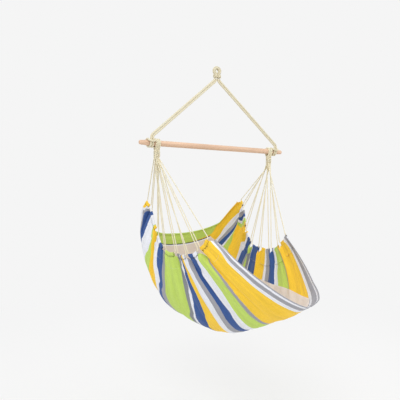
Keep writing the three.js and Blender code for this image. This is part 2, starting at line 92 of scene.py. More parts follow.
BAR_Z = -BAR_DROP
BAR_RADIUS = BAR_DIA / 2
ROPE_RADIUS = ROPE_DIA / 2
STRAND_PITCH = ROPE_DIA + TURN_GAP
LASH_PITCH = LASH_DIA + LASH_GAP
HITCH_X = BAR_LENGTH / 2 - HITCH_INSET
BAND_X = HITCH_X - (STRAND_PITCH * 1.5 + ROPE_RADIUS) - BAND_SIDE_GAP - BAND_WIDTH / 2
EYE_NECK_HALF = (EYE_ROPE_DIA + SEAT_GAP) / 2
EYE_NECK_Z = -(EYE_NECK_DROP + EYE_LASH_TURNS * LASH_PITCH + LASH_DIA + 2 * NECK_BARE)
SWING_Z = EYE_NECK_Z - SEAT_GAP - ROPE_RADIUS
BAND_NECK_HALF = (BAND_THICKNESS + SEAT_GAP) / 2
BAND_NECK_Z = BAR_Z - BAND_NECK_DROP - (BAND_LASH_TURNS * LASH_PITCH + LASH_DIA) - 2 * NECK_BARE
STRAND_Z = BAND_NECK_Z - SEAT_GAP
CORD_PITCH = CORD_DIA + CORD_GAP

# Eight sections of the seat from front to rear: hem x, y, drop, middle y, drop, bow, wrap angle, lean
SECTIONS = np.array([
    (0.74, -0.239, 0.466, -0.582, 0.742, -0.035, 66.5, 0.93),
    (0.775, -0.181, 0.532, -0.408, 0.844, -0.086, 67, 1.31),
    (0.82, -0.109, 0.566, -0.234, 0.939, -0.106, 68.5, 1.56),
    (0.84, -0.029, 0.568, -0.059, 1, -0.064, 75, 1.38),
    (0.89, 0.054, 0.554, 0.113, 0.983, 0.024, 89.5, 1.13),
    (0.92, 0.109, 0.466, 0.264, 0.929, 0.034, 100.5, 0.96),
    (0.97, 0.149, 0.336, 0.355, 0.727, 0.04, 107, 0.86),
    (1, 0.178, 0.294, 0.417, 0.507, -0.02, 102, 0.55),
])
SECTION_SCALE = np.array([HEM_HALF, SEAT_DEPTH, SEAT_DROP, SEAT_DEPTH, SEAT_DROP, HEM_HALF,
                          pi / 180, 1])
RAILS = SECTIONS * SECTION_SCALE

# The lining's side edge at the same sections, as a share of the way from the middle line to a hem
LINING_EDGES = np.array([0.24, 0.58, 0.72, 0.77, 0.76, 0.68, 0.52, 0.33])[:, None]

# The flat cloth
CUT_WIDTH = 1.65
CUT_HALF = 0.65

# Stripes of the cloth from the front selvage to the rear one: colour and share of the width
STRIPES = (
    ("grey", 0.003), ("white", 0.0055), ("grey", 0.02), ("white", 0.0151), ("yellow", 0.1254),
    ("grey", 0.0093), ("green", 0.0587), ("white", 0.0431), ("blue", 0.0267), ("grey", 0.0275),
    ("white", 0.0325), ("yellow", 0.0358), ("blue", 0.0372), ("white", 0.0075), ("dark", 0.0174),
    ("green", 0.1226), ("grey", 0.0234), ("blue", 0.0355), ("white", 0.0412), ("yellow", 0.0293),
    ("green", 0.0488), ("white", 0.0437), ("blue", 0.0425), ("grey", 0.0198), ("white", 0.033),
    ("yellow", 0.0561), ("green", 0.0396),
)

# The gathered hems pull the stripes about. MARKS has the edges of the stripes behind the front border,
# as shares of the flat cloth's width. Each of MARK_ROWS has its place from the left hem (-1) to the
# right one (1), and then where those edges lie there, in thousandths from front to rear. Near the left
# hem the rows also widen the dark stripe, and at the rear of the right hem a grey stripe in place of
# blue, where folds lie in shade: that is painted fold shade.
BORDER_STRIPES = 3
MARKS = (0, *np.cumsum([share for _, share in STRIPES])[BORDER_STRIPES:-1], 1)
MARK_SCALE = 1000
MARK_ROWS = (
    (-1.0, 12, 126, 130, 162, 202, 288, 300, 335, 355, 360, 365, 420,
     580, 584, 635, 708, 756, 758, 808, 862, 864, 868, 998),
    (-0.95, 16, 134, 138, 196, 222, 294, 306, 342, 368, 372, 378, 436,
     580, 585, 634, 710, 753, 756, 808, 872, 905, 925, 998),
    (-0.9, 20, 150, 155, 204, 246, 297, 316, 350, 370, 382, 402, 438,
     568, 583, 634, 725, 741, 746, 808, 885, 940, 990, 998),
    (-0.8, 42, 150, 161, 216, 272, 302, 322, 354, 379, 403, 422, 445,
     575, 592, 622, 718, 728, 752, 817, 872, 885, 985, 998),
    (-0.7, 45, 154, 172, 226, 276, 302, 322, 360, 381, 420, 436, 455,
     580, 598, 617, 668, 732, 778, 842, 885, 910, 965, 995),
    (-0.6, 50, 161, 182, 236, 273, 303, 324, 358, 388, 436, 448, 468,
     594, 624, 642, 670, 746, 798, 857, 910, 930, 955, 985),
    (-0.5, 48, 165, 189, 244, 270, 308, 330, 360, 400, 452, 461, 480,
     600, 640, 666, 690, 755, 805, 855, 895, 910, 935, 965),
    (-0.4, 46, 170, 193, 248, 282, 314, 335, 364, 420, 472, 482, 504,
     605, 640, 670, 700, 745, 790, 835, 873, 893, 920, 957),
    (-0.2, 42, 174, 193, 250, 288, 316, 345, 370, 440, 482, 498, 527,
     605, 637, 667, 706, 742, 782, 822, 862, 883, 910, 953),
    (0.4, 48, 168, 177, 238, 277, 310, 338, 367, 420, 462, 470, 488,
     600, 622, 655, 700, 760, 820, 850, 880, 895, 910, 962),
    (0.5, 50, 165, 170, 238, 272, 312, 340, 367, 430, 480, 490, 510,
     610, 630, 670, 705, 800, 862, 872, 899, 915, 930, 996),
    (0.6, 54, 150, 154, 226, 262, 315, 343, 365, 440, 520, 525, 570,
     620, 635, 690, 710, 832, 868, 876, 894, 916, 947, 999.5),
    (0.7, 57, 159, 163, 233, 260, 316, 345, 366, 442, 540, 545, 600,
     622, 640, 700, 720, 855, 868, 871, 885, 907, 945, 999.5),
    (0.8, 61, 166, 170, 243, 262, 315, 350, 364, 445, 552, 554, 602,
     620, 638, 700, 722, 858, 868, 872, 880, 901, 931, 999.5),
    (0.9, 63, 174, 176, 231, 252, 318, 352, 360, 436, 545, 547, 585,
     598, 605, 670, 698, 800, 822, 827, 842, 862, 898, 999.5),
    (1.0, 72, 180, 182, 228, 250, 310, 350, 355, 430, 540, 542, 553,
     565, 575, 645, 680, 757, 785, 790, 800, 825, 882, 999.5),
)
COLOURS = {
    "grey": (164, 164, 171), "dark": (140, 143, 147), "white": (236, 238, 245),
    "yellow": (253, 208, 60), "green": (196, 222, 106), "blue": (59, 91, 153),
    "lining": (228, 216, 206), "cream": (240, 234, 207), "wood": (226, 193, 166),
    "backdrop": (245, 245, 245),
}


def linear(name, gain=1.0):
    """A colour of the list, decoded from sRGB and made lighter or darker."""
    values = [c / 255 for c in COLOURS[name]]
    return tuple(gain * (v / 12.92 if v <= 0.04045 else ((v + 0.055) / 1.055) ** 2.4) for v in values)


# Paths: corners with rounded bends, and the frames that follow them
BEND_STEPS = 8
TINY = 1e-6


def vec(x, y, z):
    return np.array((x, y, z), float)


def unit(v):
    return v / np.linalg.norm(v)


def units(vectors):
    return vectors / np.linalg.norm(vectors, axis=-1)[..., None]


def turned(v, axis, angle):
    c, s = cos(angle), sin(angle)
    return v * c + np.cross(axis, v) * s + axis * np.dot(axis, v) * (1 - c)


def bend(before, corner, after, radius):
    arriving = unit(corner - before)
    leaving = unit(after - corner)
    cross = np.cross(arriving, leaving)
    if np.linalg.norm(cross) < TINY:
        return [corner]
    axis = unit(cross)
    angle = acos(max(-1, min(1, float(np.dot(arriving, leaving)))))
    start = corner - arriving * radius * tan(angle / 2)
    centre = start + np.cross(axis, arriving) * radius
    spoke = start - centre
    return [centre + turned(spoke, axis, angle * k / BEND_STEPS) for k in range(BEND_STEPS + 1)]


def rounded_route(corners, radii):
    route = [corners[0]]
    for k in range(1, len(corners) - 1):
        route += bend(corners[k - 1], corners[k], corners[k + 1], radii[k - 1])
    return route + [corners[-1]]


def sided(route, side):
    """The route of the right side (1), or its mirror image on the left one (-1)."""
    return [p * np.array((side, 1, 1)) for p in route]


def walked(points):
    """The distance along a line, at each of its points."""
    steps = np.linalg.norm(np.diff(points, axis=0), axis=1)
    return np.concatenate([[0], np.cumsum(steps)])


def resample(route, pitch):
    points = np.array(route)
    along = walked(points)
    count = max(2, int(round(along[-1] / pitch)))
    places = np.linspace(0, along[-1], count + 1)
    return np.stack([np.interp(places, along, points[:, k]) for k in range(3)], axis=1)


def smooth_line(route, pitch, rounds):
    """The route at an even pitch, its corners eased in the rounds given."""
    points = resample(route, pitch)
    for _ in range(rounds):
        inner = (points[:-2] + 2 * points[1:-1] + points[2:]) / 4
        points = np.vstack([points[:1], inner, points[-1:]])
    return points


def moving_frames(points):
    tangents = units(np.gradient(points, axis=0))
    seed = vec(0, 1, 0) if abs(tangents[0][1]) < 0.9 else vec(1, 0, 0)
    normal = unit(seed - tangents[0] * np.dot(seed, tangents[0]))
    normals = [normal]
    for t in tangents[1:]:
        normal = unit(normal - t * np.dot(normal, t))
        normals.append(normal)
    normals = np.array(normals)
    return tangents, normals, np.cross(tangents, normals)


# Meshes
ROPE_LOBES = 3
ROPE_TIP = 0.4


def linked(name, data):
    obj = bpy.data.objects.new(name, data)
    bpy.context.scene.collection.objects.link(obj)
    return obj


def new_object(name, verts, faces, material, uvs=None):
    mesh = bpy.data.meshes.new(name)
    mesh.from_pydata([tuple(v) for v in verts], [], faces)
    mesh.materials.append(material)
    mesh.polygons.foreach_set("use_smooth", [True] * len(mesh.polygons))
    if uvs is not None:
        layer = mesh.uv_layers.new(name="weave")
        flat = np.array([uvs[i] for face in faces for i in face], dtype=np.float32)
        layer.data.foreach_set("uv", flat.ravel())
    mesh.update()
    return linked(name, mesh)


def ring_faces(rings, sides, base=0):
    """The quads that join rings of points, which lie one after another from the base."""
    faces = []
    for k in range(rings - 1):
        for j in range(sides):
            a = base + k * sides + j
            b = base + k * sides + (j + 1) % sides
            faces.append((a, b, b + sides, a + sides))
    return faces


def capped_faces(rings, sides, base=0):
    first = tuple(range(base, base + sides))
    last = tuple(i + (rings - 1) * sides for i in first)
    return ring_faces(rings, sides, base) + [first[::-1], last]


def laid_tube(points, radius, lay, groove, sides, phase=0.0):
    """Points, faces and UVs of one rope, whose strands turn once in each lay."""
    tangents, normals, binormals = moving_frames(points)
    along = walked(points)
    angle = np.arange(sides) * 2 * pi / sides
    reach = radius * (1 - groove * (1 - np.abs(np.cos(ROPE_LOBES * angle / 2))))
    verts, uvs = [], []
    for k, centre in enumerate(points):
        turn = phase + 2 * pi * along[k] / lay
        for a, r in zip(angle, reach):
            spoke = normals[k] * cos(a + turn) + binormals[k] * sin(a + turn)
            verts.append(centre + spoke * r)
            uvs.append((a * radius, along[k]))
    faces = ring_faces(len(points), sides)
    top = (len(points) - 1) * sides
    first = len(verts)
    last = first + 1
    tip = radius * ROPE_TIP
    verts += [points[0] - tangents[0] * tip, points[-1] + tangents[-1] * tip]
    uvs += [(0, 0), (0, along[-1])]
    for j in range(sides):
        faces.append((first, (j + 1) % sides, j))
        faces.append((last, top + j, top + (j + 1) % sides))
    return verts, faces, uvs


def declare(obj, body, slot, *nodes):
    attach(obj, body)
    if nodes:
        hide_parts(*nodes)


def rope_piece(name, tubes, material, body, *nodes):
    """One piece of the tubes given, in place of the CAD nodes."""
    verts, faces, uvs = [], [], []
    for tube_verts, tube_faces, tube_uvs in tubes:
        base = len(verts)
        verts += list(tube_verts)
        uvs += tube_uvs
        faces += [tuple(i + base for i in face) for face in tube_faces]
    declare(new_object(name, verts, faces, material, uvs), body, "rope", *nodes)


# Materials
WAVER = 4 * MM
CLOTH_THREADS = 900
LINING_THREADS = 700
WEAVE_RELIEF = 0.6 * MM
CREASE_RELIEF = 6 * MM
WOOD_RELIEF = 0.5 * MM
THREAD_RELIEF = 0.3 * MM
# How far before the lining's rear edge its white line, a painted highlight, and its dark line, a
# painted shadow, begin
EDGE_HIGHLIGHT_SHARE = 0.0085
EDGE_SHADOW_SHARE = 0.0042


class Nodes:
    """Short calls for the nodes of a material or of the world."""

    def __init__(self, name, kind="Material", owners=bpy.data.materials):
        self.owner = owners.new(name)
        self.owner.use_nodes = True
        self.tree = self.owner.node_tree
        self.tree.nodes.clear()
        self.out = self.add("Output" + kind)

    def add(self, kind, inputs=None, **settings):
        node = self.tree.nodes.new("ShaderNode" + kind)
        for key, value in settings.items():
            setattr(node, key, value)
        for key, value in (inputs or {}).items():
            socket = node.inputs[key]
            if isinstance(value, bpy.types.NodeSocket):
                self.tree.links.new(value, socket)
            else:
                socket.default_value = value
        return node

    def maths(self, operation, a, b):
        return self.add("Math", {0: a, 1: b}, operation=operation).outputs[0]

    def uv(self):
        return self.add("UVMap", uv_map="weave").outputs[0]

    def across(self, uv):
        return self.add("SeparateXYZ", {0: uv}).outputs[0]

    def object_place(self):
        return self.add("TexCoord").outputs["Object"]

    def stretched(self, vector, scale):
        return self.add("Mapping", {"Vector": vector, "Scale": scale}).outputs[0]

    def noise(self, vector, grain, detail, roughness=0.55):
        """The grain is the number of waves in a metre, along each axis."""
        inputs = {"Vector": self.stretched(vector, grain), "Scale": 1.0, "Detail": detail,
                  "Roughness": roughness}
        return self.add("TexNoise", inputs).outputs["Fac"]

    def wave(self, vector, scale, direction, distortion=0.0):
        inputs = {"Vector": vector, "Scale": scale, "Distortion": distortion}
        return self.add("TexWave", inputs, bands_direction=direction).outputs["Fac"]

    def ramp(self, fac, stops, interpolation="LINEAR"):
        node = self.add("ValToRGB", {"Fac": fac})
        ramp = node.color_ramp
        ramp.interpolation = interpolation
        while len(ramp.elements) < len(stops):
            ramp.elements.new(0.5)
        for element, (position, _) in zip(ramp.elements, stops):
            element.position = position
        for element, (_, colour) in zip(ramp.elements, stops):
            element.color = (*colour, 1)
        return node.outputs["Color"]

    def tones(self, fac, edge, dark, pale):
        """From a dark colour to a pale one, which begin at the same distance from both ends."""
        return self.ramp(fac, ((edge, dark), (1 - edge, pale)))

    def multiply(self, colour, *shades):
        for shade in shades:
            inputs = {0: 1.0, 6: colour, 7: shade}
            node = self.add("Mix", inputs, data_type="RGBA", blend_type="MULTIPLY")
            colour = node.outputs[2]
        return colour

    def weave_height(self, uv, threads, slub):
        warp = self.wave(uv, threads / 2, "X")
        weft = self.wave(uv, threads / 2, "Y")
        return self.maths("ADD", self.maths("MULTIPLY", self.maths("ADD", warp, weft), 0.5), slub)

    def bump(self, height, relief, strength, under=None):
        inputs = {"Height": height, "Strength": strength, "Distance": relief}
        if under is not None:
            inputs["Normal"] = under
        return self.add("Bump", inputs).outputs["Normal"]

    def backdrop_seen(self):
        """1 for the rays that show the backdrop: the camera's, and those of reflections and glass."""
        path = self.add("LightPath").outputs
        total = path["Is Camera Ray"]
        for kind in ("Is Glossy Ray", "Is Transmission Ray"):
            total = self.maths("MAXIMUM", total, path[kind])
        return total

    def mix_shaders(self, fac, a, b):
        return self.add("MixShader", {0: fac, 1: a.outputs[0], 2: b.outputs[0]})

    def surface(self, shader):
        self.tree.links.new(shader.outputs[0], self.out.inputs["Surface"])

    def finish(self, colour, normal, roughness, sheen=0.0, specular=0.25):
        inputs = {"Base Color": colour, "Roughness": roughness, "Sheen Weight": sheen,
                  "Specular IOR Level": specular, "Normal": normal}
        self.surface(self.add("BsdfPrincipled", inputs))
        return self.owner


def grey(value):
    return (value, value, value)


def striped_cloth():
    nodes = Nodes("striped_cotton")
    uv = nodes.uv()
    waver = nodes.maths("SUBTRACT", nodes.noise(uv, grain=(18, 42, 1), detail=2), 0.5)
    across = nodes.maths("ADD", nodes.across(uv), nodes.maths("MULTIPLY", waver, WAVER))
    stops, start = [], 0.0
    for name, width in STRIPES:
        stops.append((start, linear(name)))
        start += width
    stripes = nodes.ramp(nodes.maths("DIVIDE", across, CUT_WIDTH), stops, "CONSTANT")
    slub = nodes.tones(nodes.noise(uv, grain=(900, 40, 1), detail=3), 0.3, grey(0.86), grey(1.06))
    melange = nodes.tones(nodes.noise(uv, grain=(320, 320, 1), detail=2), 0.35, grey(0.88), grey(1.08))
    # Long broad patches of darker and lighter tone that run from hem to hem: painted light and shade of
    # the cloth's folds
    painted_fold_shade = nodes.tones(nodes.noise(uv, grain=(26, 4, 1), detail=4), 0.3, grey(0.9), grey(1.05))
    height = nodes.weave_height(uv, CLOTH_THREADS, nodes.maths("MULTIPLY", slub, 0.4))
    weave = nodes.bump(height, WEAVE_RELIEF, strength=0.35)
    crease = nodes.noise(uv, grain=(46, 8, 1), detail=4, roughness=0.6)
    creases = nodes.bump(crease, CREASE_RELIEF, strength=0.6, under=weave)
    colour = nodes.multiply(stripes, slub, melange, painted_fold_shade)
    return nodes.finish(colour, creases, roughness=0.88, sheen=0.1)


def lining_cloth():
    """Plain cloth, with a painted highlight line in white and then a painted shadow line in dark grey
    where its rear end is sewn on.
    """
    nodes = Nodes("plain_lining")
    uv = nodes.uv()
    share = nodes.maths("DIVIDE", nodes.across(uv), CUT_WIDTH)
    plain = nodes.ramp(share, (
        (0.0, linear("lining")),
        # A white line painted as the highlight on the lining's rear edge, then a very dark line painted
        # as that edge's shadow
        (LINING_REAR - EDGE_HIGHLIGHT_SHARE, linear("white")),
        (LINING_REAR - EDGE_SHADOW_SHARE, linear("dark", 0.3)),
    ), "CONSTANT")
    slub = nodes.tones(nodes.noise(uv, grain=(40, 800, 1), detail=3), 0.3, grey(0.9), grey(1.05))
    height = nodes.weave_height(uv, LINING_THREADS, nodes.maths("MULTIPLY", slub, 0.5))
    weave = nodes.bump(height, WEAVE_RELIEF, strength=0.4)
    crease = nodes.noise(uv, grain=(18, 12, 1), detail=3)
    creases = nodes.bump(crease, CREASE_RELIEF, strength=0.4, under=weave)
    return nodes.finish(nodes.multiply(plain, slub), creases, roughness=0.92, sheen=0.15)


def cotton_rope(name, yarn, gain):
    """Cream cotton whose yarns, of the pitch given, run round the rope's strands."""
    nodes = Nodes(name)
    uv = nodes.uv()
    fibre = nodes.noise(uv, grain=(1.2 / yarn, 0.03 / yarn, 1), detail=3, roughness=0.5)
    tone = nodes.tones(fibre, 0.3, linear("cream", 0.88 * gain), linear("cream", 1.02 * gain))
    patch = nodes.tones(nodes.noise(uv, grain=(5, 9, 1), detail=2), 0.35, (1.0, 0.94, 0.87), grey(1.0))
    spin = nodes.wave(nodes.stretched(uv, (1, 0.45, 1)), 0.5 / yarn, "DIAGONAL", 0.8)
    height = nodes.maths("ADD", spin, nodes.maths("MULTIPLY", fibre, 0.5))
    relief = nodes.bump(height, yarn * 0.3, strength=0.45)
    return nodes.finish(nodes.multiply(tone, patch), relief, roughness=0.9, sheen=0.25)


def turned_wood():
    nodes = Nodes("turned_wood")
    spot = nodes.object_place()
    grain = nodes.noise(spot, grain=(6, 160, 160), detail=5, roughness=0.6)
    tone = nodes.tones(grain, 0.3, linear("wood", 0.8), linear("wood", 1.05))
    band = nodes.noise(spot, grain=(2.5, 45, 45), detail=2)
    shade = nodes.tones(band, 0.35, (0.92, 0.88, 0.85), (1.03, 1.02, 1.0))
    relief = nodes.bump(grain, WOOD_RELIEF, strength=0.15)
    return nodes.finish(nodes.multiply(tone, shade), relief, roughness=0.55, specular=0.35)


def sewing_thread():
    nodes = Nodes("sewing_thread")
    fibre = nodes.noise(nodes.object_place(), grain=(1500, 1500, 1500), detail=2)
    tone = nodes.tones(fibre, 0.3, linear("white", 0.75), linear("white", 0.95))
    relief = nodes.bump(fibre, THREAD_RELIEF, strength=0.2)
    return nodes.finish(tone, relief, roughness=0.8, sheen=0.1)


# The seat's surface, from the same sections as the CAD part. u runs from the front selvage (0) to the
# rear one (1), and t from the left hem (-1) over the middle line (0) to the right hem (1).
NUDGE = 1e-3
EDGE_SHARE = 6e-4
# Deeper than in the CAD part, since the hem's roll hides part of each notch
NOTCH_DEPTH = 42 * MM
NOTCH_SLIT = 14 * MM
NOTCH_ROUND = 0.8
WEAVE_THICKNESS = 1.4 * MM

# Creases: the scales of their noise along u and t and its seed, their heights, and how far they reach
FINE_NOISE = (34, 2.2, 1.5)
BROAD_NOISE = (11, 1.6, 5.5)
SLACK_NOISE = (9, 2.5, 9.5)
SIDE_SHIFTS = (3.7, 8.2)
FINE_CREASE = 6.5 * MM
FINE_REACH = 160 * MM
BROAD_CREASE = 7 * MM
BROAD_REACH = 400 * MM
SLACK_CREASE = 4.5 * MM
REST_CREASE = 2 * MM
CALM_REACH = 30 * MM

# Where the rims are drawn out of line: front or rear end, first and last t, reach in u, pull in mm
RIM_PULLS = (
    (0, -0.12, 0.25, 0.12, (-9, 5, 13)),
    (0, 0.22, 0.5, 0.12, (7, -2, 0)),
    (1, 0.52, 1, 0.2, (-14, 10, 19)),
)

# The hem: its roll over the cord, its inner layer and its row of stitches
HEM_DEPTH = 66 * MM
HEM_LAYER = 1.7 * MM
HEM_EASE = 1.3
ROLL_START = 0.17
ROLL_RADIUS = 4.6 * MM
ROLL_UNEVEN = 0.06
ROLL_NOISE = (60, 5, 2.5)
CHANNEL_SWELL = 0.75 * ROLL_RADIUS
STITCH_DIP = 1.6 * MM
STITCH_REACH = 5 * MM


def rails(u, sections=RAILS):
    """A smooth curve through the sections."""
    table = np.vstack([2 * sections[0] - sections[1], sections, 2 * sections[-1] - sections[-2]])
    place = np.clip(u, 0, 1) * (len(sections) - 1)
    k = np.minimum(place.astype(int), len(sections) - 2)
    w = (place - k)[..., None]
    p0, p1, p2, p3 = (table[k + n] for n in range(4))
    cubic = -p0 + 3 * p1 - 3 * p2 + p3
    return 0.5 * (2 * p1 + (p2 - p0) * w + (2 * p0 - 5 * p1 + 4 * p2 - p3) * w ** 2 + cubic * w ** 3)


def smooth_seat(u, t):
    hem_x, hem_y, hem_drop, mid_y, mid_drop, bow, wrap, lean = np.moveaxis(rails(u), -1, 0)
    turn = wrap * np.abs(t)
    climb = (1 - np.cos(turn)) / (1 - np.cos(wrap))
    half = hem_x * np.sin(turn) / np.sin(wrap) + bow * np.sin(np.pi * np.abs(t))
    y = mid_y + (hem_y - mid_y) * climb ** lean
    z = BAR_Z - (mid_drop + (hem_drop - mid_drop) * climb)
    return np.stack([np.sign(t) * half, y, z], axis=-1)


def seat_directions(u, t):
    """The directions to the right along the seat, and out of it."""
    rearward = smooth_seat(np.minimum(u + NUDGE, 1), t) - smooth_seat(np.maximum(u - NUDGE, 0), t)
    rightward = smooth_seat(u, np.minimum(t + NUDGE, 1)) - smooth_seat(u, np.maximum(t - NUDGE, -1))
    rightward = units(rightward)
    return rightward, units(np.cross(units(rearward), rightward))


HALF_U = np.linspace(0, 1, num=101)
HALF_POINTS = smooth_seat(*np.meshgrid(HALF_U, np.linspace(0, 1, num=41), indexing="ij"))
HALF_LENGTHS = np.linalg.norm(np.diff(HALF_POINTS, axis=1), axis=2).sum(axis=1)


def half_length(u):
    """The length of cloth from the middle line to a hem."""
    return np.interp(u, HALF_U, HALF_LENGTHS)


def from_hem(u, t):
    return (1 - np.abs(t)) * half_length(u)


def even_slopes(rises):
    """Slopes at the rows of a table that let no value between two rows pass beyond both."""
    product = rises[:-1] * rises[1:]
    total = np.where(product > 0, rises[:-1] + rises[1:], 1)
    inner = np.where(product > 0, 2 * product / total, 0)
    return np.concatenate([rises[:1], inner, rises[-1:]])


def woven_share(u, t):
    """The share of the flat cloth's width that lies at a place of the hung seat."""
    levels = np.array([row[0] for row in MARK_ROWS])
    rows = [(0, *(edge / MARK_SCALE for edge in edges), 1) for _, *edges in MARK_ROWS]
    steps = np.diff(levels)
    u = np.clip(u, EDGE_SHARE, 1 - EDGE_SHARE)
    shares = np.stack([np.interp(u, row, MARKS) for row in rows])
    slopes = even_slopes(np.diff(shares, axis=0) / steps.reshape((-1,) + (1,) * u.ndim))
    k = np.clip(np.searchsorted(levels, t, side="right") - 1, 0, len(levels) - 2)
    w = (t - levels[k]) / steps[k]
    below, above = (np.take_along_axis(shares, k[None] + n, axis=0)[0] for n in (0, 1))
    leave, arrive = (np.take_along_axis(slopes, k[None] + n, axis=0)[0] * steps[k] for n in (0, 1))
    rise = above - below
    return below + w * (leave + w * (3 * rise - 2 * leave - arrive + w * (leave + arrive - 2 * rise)))


def weave_place(u, t, along=None):
    """UVs in metres of the flat cloth: across its stripes, and along them."""
    if along is None:
        along = t * CUT_HALF
    return np.stack([woven_share(u, t) * CUT_WIDTH, along], axis=-1)


def from_notch(u):
    """The distance to the nearest notch, as a share of a tab."""
    place = u * TAB_COUNT
    return np.abs(place - np.round(place))


def fold_height(u, t):
    weight = 0.5 - 1.5 * np.exp(-((from_notch(u) / FOLD_REACH) ** 2))
    return FOLD_DEPTH * weight * np.exp(-from_hem(u, t) / FOLD_FADE)


def ridge_noise(u, t, scales):
    along_u, along_t, seed = scales
    flat = zip(u.ravel(), t.ravel())
    values = [noise.noise(Vector((a * along_u, b * along_t, seed))) for a, b in flat]
    return np.array(values).reshape(u.shape)


def wrinkle_height(u, t):
    """Creases that run from hem to hem, strongest under the tabs and nil at the hem's own edge."""
    below = from_hem(u, t)
    shifted = t + np.where(t < 0, *SIDE_SHIFTS)
    fine = ridge_noise(u * CUT_WIDTH, shifted, FINE_NOISE)
    broad = ridge_noise(u * CUT_WIDTH, shifted, BROAD_NOISE)
    slack = ridge_noise(u * CUT_WIDTH, t * CUT_HALF, SLACK_NOISE)
    height = FINE_CREASE * fine * np.exp(-below / FINE_REACH)
    height += BROAD_CREASE * broad * np.exp(-below / BROAD_REACH)
    height += SLACK_CREASE * slack + REST_CREASE * fine
    return height * (1 - np.exp(-((below / CALM_REACH) ** 2)))


def channel_height(u, t):
    """The outer layer of each tab's channel swells towards the cord and dips at its row of stitches."""
    below = from_hem(u, t) - hem_sag(u)
    inside = np.clip((from_notch(u) - TAB_CORNER) / (ROLL_START - TAB_CORNER), 0, 1)
    swell = CHANNEL_SWELL * np.clip(1 - below / HEM_DEPTH, 0, 1) ** HEM_EASE
    dip = STITCH_DIP * np.exp(-(((below - HEM_DEPTH) / STITCH_REACH) ** 2))
    return inside * (swell - dip)


def rim_pull(u, t):
    """The front corner is drawn in, and the rear rim up and in towards the right harness."""
    total = np.zeros((*u.shape, 3))
    for end, first, last, reach, pull in RIM_PULLS:
        across = np.sin(np.pi * np.clip((t - first) / (last - first), 0, 1))
        weight = across * np.clip(1 - np.abs(u - end) / reach, 0, 1) ** 2
        total += weight[..., None] * np.array(pull) * MM
    return total


def seat_points(u, t, lift=0.0, wrinkled=True):
    """Places on the cloth, lifted towards the sitter."""
    _, outward = seat_directions(u, t)
    height = fold_height(u, t) - lift
    if wrinkled:
        height = height + wrinkle_height(u, t) + channel_height(u, t)
    return smooth_seat(u, t) + outward * height[..., None] + rim_pull(u, t)


def hem_sag(u):
    """How far the hem line lies below its smooth curve: in the notches, and between a tab's corners."""
    near = from_notch(u)
    depth = np.where((u <= 0) | (u >= 1), SELVAGE_SAG, NOTCH_DEPTH)
    notch = depth * (1 - near / TAB_CORNER)
    sag = TAB_SAG * (near - TAB_CORNER) / (0.5 - TAB_CORNER)
    return np.where(near < TAB_CORNER, notch, sag)


def edge_share(u):
    return 1 - hem_sag(u) / half_length(u)


def hem_axis(u, side):
    """The middle of the hem's tunnel beside the cloth's edge, and the directions off and out of it."""
    t = edge_share(u) * side
    edge = seat_points(u, t, wrinkled=False)
    along = units(np.gradient(edge, axis=0))
    rightward, outward = seat_directions(u, t)
    off = rightward * side
    off = units(off - along * np.sum(off * along, axis=1)[:, None])
    return edge + off * (TUNNEL_RADIUS + SEAT_GAP), off, outward


# The cloth and its lining as meshes
NOTCH_COLUMNS = (0.02, 0.04, 0.065, 0.09, 0.115, 0.14)
TAB_COLUMNS = 23
HALF_ROWS = 46
ROW_CROWDING = 0.12
# The turned selvage: step in u from the end, and lift
SELVAGE_TURN = ((-0.0006, 0.5 * MM), (0.0, 1.2 * MM), (0.003, 1.6 * MM), (0.007, 1.7 * MM))
# The roll in section, beside its arc: mm off the tunnel's middle, and radii out of it
ROLL_RISE = ((-11, 0.75), (-6, 0.88))
ROLL_RETURN = ((-7, -0.95), (-12, -0.9))
ROLL_ARC = 112
ROLL_ARC_STEP = 28
ROLL_UV_START = 4 * MM
ROLL_UV_STEP = 2.8 * MM
HEM_UV_STEP = 10 * MM
HEM_ROWS = (0.2, 0.36, 0.52, 0.68, 0.84, 0.94, 1)
LINING_COLUMNS = 170
LINING_ROWS = 90
LINING_LIFT = 3.9 * MM
LINING_THICKNESS = 3.2 * MM
LINING_BEVEL = 1.2 * MM
LINING_PUFF = 1.4 * MM
LINING_WAVE = 1 * MM
LINING_WAVE_NOISE = (9, 7, 4.4)
PUFF_REACH = 30 * MM


class Sheet:
    """A growing mesh of cloth with a UV at each point."""

    def __init__(self):
        self.verts, self.uvs, self.faces = [], [], []

    def add(self, points, uvs):
        base = len(self.verts)
        self.verts += [tuple(p) for p in points]
        self.uvs += [tuple(p) for p in uvs]
        return list(range(base, base + len(points)))

    def strip(self, a, b, flip=False):
        for k in range(len(a) - 1):
            quad = (a[k], a[k + 1], b[k + 1], b[k])
            self.faces.append(quad[::-1] if flip else quad)

    def grid(self, points, uvs):
        columns = [self.add(*column) for column in zip(points, uvs)]
        for a, b in zip(columns[:-1], columns[1:]):
            self.strip(a, b)
        return columns


def seat_rows():
    """Shares from the middle line to the edge row, closer together towards the hem."""
    steps = np.linspace(0, 1, HALF_ROWS)
    return steps + ROW_CROWDING * np.sin(np.pi * steps)


def sheet_columns():
    """Places from the front selvage to the rear one, closer together round each notch."""
    middle = np.linspace(ROLL_START, 1 - ROLL_START, TAB_COLUMNS)
    tab = [0, *NOTCH_COLUMNS, *middle, *(1 - p for p in reversed(NOTCH_COLUMNS[1:]))]
    return np.array([(k + p) / TAB_COUNT for k in range(TAB_COUNT) for p in tab] + [1.0])


def main_edge(u):
    """How far below the hem line the single cloth ends: at the roll's foot, or at the notch's edge."""
    near = from_notch(u)
    inside = NOTCH_SLIT - TUNNEL_RADIUS
    deep = np.where((u <= 0) | (u >= 1), SELVAGE_SAG + inside, NOTCH_DEPTH)
    notch = deep + (inside - deep) * np.clip(near / TAB_CORNER, 0, 1) ** NOTCH_ROUND
    return np.where(near < TAB_CORNER, notch, hem_sag(u) + inside)


